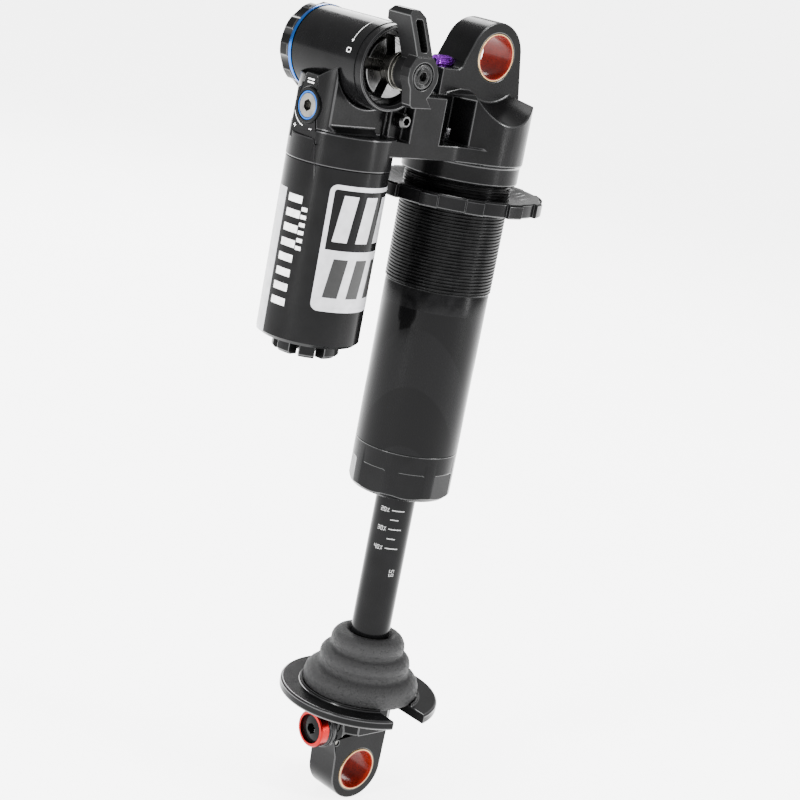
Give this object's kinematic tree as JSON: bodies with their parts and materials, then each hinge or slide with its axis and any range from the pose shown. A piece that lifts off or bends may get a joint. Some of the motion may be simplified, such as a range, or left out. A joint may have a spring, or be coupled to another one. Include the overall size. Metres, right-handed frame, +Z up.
{
  "type": "bicycle rear shock",
  "caption": "Coil rear shock without its spring: threaded body, piggyback reservoir with dials and a lever, black shaft, foam bump stop, slotted spring seat and two eyes.",
  "frame": {"origin": "middle of the upper eye's bore, halfway across the eye's width", "axes": "+Z up along the damper from the lower eye to the upper eye, Y along both eye bores, reservoir on the -X side, lever on the -Y side"},
  "size_m": [0.0898, 0.0546, 0.2523],
  "materials": {
    "black_anodised": "satin black hard anodised forging",
    "threaded_tube": "dark grey anodised threaded aluminium",
    "printed_film": "black film with a faint gloss pattern",
    "bush_shell": "bronze-coloured bush shell",
    "bush_liner": "dark red polymer liner",
    "seal_rubber": "black nitrile",
    "bush_bronze": "sintered bronze",
    "bare_aluminium": "machined aluminium",
    "collar_black": "satin black anodised",
    "reservoir_black": "satin black anodised tube",
    "valve_brass": "nickelled brass",
    "black_plastic": "moulded black plastic",
    "bezel_black": "black anodised, bright bevel",
    "nut_grey": "grey anodised",
    "spring_steel": "ground spring steel",
    "dial_black": "black anodised, fine machined",
    "ring_blue": "blue anodised",
    "ring_red": "red anodised",
    "steel": "turned stainless steel",
    "lever_black": "bead-blasted black anodised",
    "bolt_black": "black zinc screw",
    "dial_purple": "purple anodised",
    "shaft_black": "gloss black coated steel",
    "bumper_amber": "amber urethane",
    "bump_foam": "grey microcellular urethane"
  },
  "bodies": {
    "damper_body": {"head_forging": "black_anodised", "upper_bush_shell": "bush_shell", "upper_bush_liner": "bush_liner", "damper_tube": "threaded_tube", "body_wrap": "printed_film", "seal_head": "black_anodised", "seal_head_oring": "seal_rubber", "shaft_bushing": "bush_bronze", "shaft_seal": "seal_rubber", "dust_wiper": "seal_rubber", "bottom_out_cup": "bare_aluminium", "reservoir_tube": "reservoir_black", "reservoir_oring": "seal_rubber", "reservoir_cap": "black_anodised", "air_valve": "valve_brass", "air_valve_core": "valve_brass", "air_valve_cap": "black_plastic", "compression_barrel": "reservoir_black", "barrel_bezel": "bezel_black", "cartridge_nut": "nut_grey", "compression_piston": "bush_bronze", "compression_shims": "spring_steel", "hsc_bezel": "dial_black", "bleed_screw": "steel"},
    "shaft_carrier": {"glide_ring": "bush_bronze"},
    "shaft_assembly": {"damper_shaft": "shaft_black", "topout_bumper": "bumper_amber", "rebound_shims": "spring_steel", "main_piston": "bare_aluminium", "main_shims": "spring_steel", "piston_nut": "steel", "bottom_out_piston": "bare_aluminium", "bump_stop": "bump_foam", "lower_eye": "black_anodised", "lower_bush_shell": "bush_shell", "lower_bush_liner": "bush_liner", "knob_pin": "steel"},
    "lower_seat": {"spring_seat": "collar_black"},
    "rebound_dial": {"rebound_knob": "dial_black", "rebound_ring": "ring_red"},
    "rebound_needle": {"rebound_rod": "steel"},
    "gas_piston": {"floating_piston": "bare_aluminium", "floating_piston_seal": "seal_rubber"},
    "collar_carrier": {"collar_oring": "seal_rubber"},
    "collar": {"preload_collar": "collar_black"},
    "lsc_adjuster": {"lsc_dial": "dial_black", "lsc_ring": "ring_blue"},
    "lsc_valve": {"lsc_needle": "steel"},
    "hsc_dial": {"hsc_adjuster": "steel", "hsc_ring": "ring_blue"},
    "hsc_valve": {"hsc_plunger": "steel"},
    "lever": {"threshold_lever": "lever_black", "lever_spindle": "steel", "lever_bolt": "bolt_black"},
    "bottom_out_knob": {"bottom_out_dial": "dial_purple"},
    "bottom_out_valve": {"bottom_out_needle": "steel"}
  },
  "joints": [
    {"name": "shaft_travel", "type": "slide", "parent": "damper_body", "child": "shaft_carrier", "axis": [0, 0, 1], "range_m": [0, 0.065], "deforming": ["bump_stop"]},
    {"name": "shaft_spin", "type": "hinge", "parent": "shaft_carrier", "child": "shaft_assembly", "pos_m": [0, 0, -0.12], "axis": [0, 0, 1], "continuous": true},
    {"name": "seat_spin", "type": "hinge", "parent": "shaft_assembly", "child": "lower_seat", "pos_m": [0, 0, -0.205], "axis": [0, 0, 1], "continuous": true},
    {"name": "rebound_turn", "type": "hinge", "parent": "shaft_assembly", "child": "rebound_dial", "pos_m": [-0.015, 0, -0.2155], "axis": [1, 0, 0], "range_deg": [0, 543]},
    {"name": "rebound_rod_slide", "type": "slide", "parent": "shaft_assembly", "child": "rebound_needle", "axis": [0, 0, 1], "range_m": [0, 0.0015]},
    {"name": "gas_piston_slide", "type": "slide", "parent": "damper_body", "child": "gas_piston", "axis": [0, 0, 1], "range_m": [-0.0146, 0]},
    {"name": "collar_height", "type": "slide", "parent": "damper_body", "child": "collar_carrier", "axis": [0, 0, -1], "range_m": [0, 0.02201]},
    {"name": "collar_turn", "type": "hinge", "parent": "collar_carrier", "child": "collar", "pos_m": [0, 0, -0.041], "axis": [0, 0, -1], "range_deg": [0, 7920]},
    {"name": "lsc_turn", "type": "hinge", "parent": "damper_body", "child": "lsc_adjuster", "pos_m": [-0.04815, 0.0175, -0.00498], "axis": [0, -1, 0], "range_deg": [0, 330]},
    {"name": "lsc_needle_slide", "type": "slide", "parent": "damper_body", "child": "lsc_valve", "axis": [0, -1, 0], "range_m": [0, 0.00221]},
    {"name": "hsc_turn", "type": "hinge", "parent": "damper_body", "child": "hsc_dial", "pos_m": [-0.062, 0, -0.0193], "axis": [1, 0, 0], "range_deg": [0, 182]},
    {"name": "hsc_plunger_slide", "type": "slide", "parent": "damper_body", "child": "hsc_valve", "axis": [1, 0, 0], "range_m": [0, 0.001]},
    {"name": "lever_turn", "type": "hinge", "parent": "damper_body", "child": "lever", "pos_m": [-0.04815, -0.0245, -0.00498], "axis": [0, -1, 0], "range_deg": [0, 45]},
    {"name": "bottom_out_turn", "type": "hinge", "parent": "damper_body", "child": "bottom_out_knob", "pos_m": [-0.0157, 0, -0.0036], "axis": [1, 0, 0], "range_deg": [0, 363]},
    {"name": "bottom_out_needle_slide", "type": "slide", "parent": "damper_body", "child": "bottom_out_valve", "axis": [0, 0, -1], "range_m": [0, 0.0015]}
  ],
  "couplings": [
    {"joint": "gas_piston_slide", "follows": "shaft_travel", "ratio": -0.22419},
    {"joint": "rebound_turn", "follows": "rebound_rod_slide", "rad_per_m": 6283.2},
    {"joint": "collar_height", "follows": "collar_turn", "m_per_rad": 0.00015915},
    {"joint": "lsc_needle_slide", "follows": "lsc_turn", "m_per_rad": 0.00038197},
    {"joint": "hsc_turn", "follows": "hsc_plunger_slide", "rad_per_m": 3141.6},
    {"joint": "bottom_out_turn", "follows": "bottom_out_needle_slide", "rad_per_m": 4188.8}
  ]
}
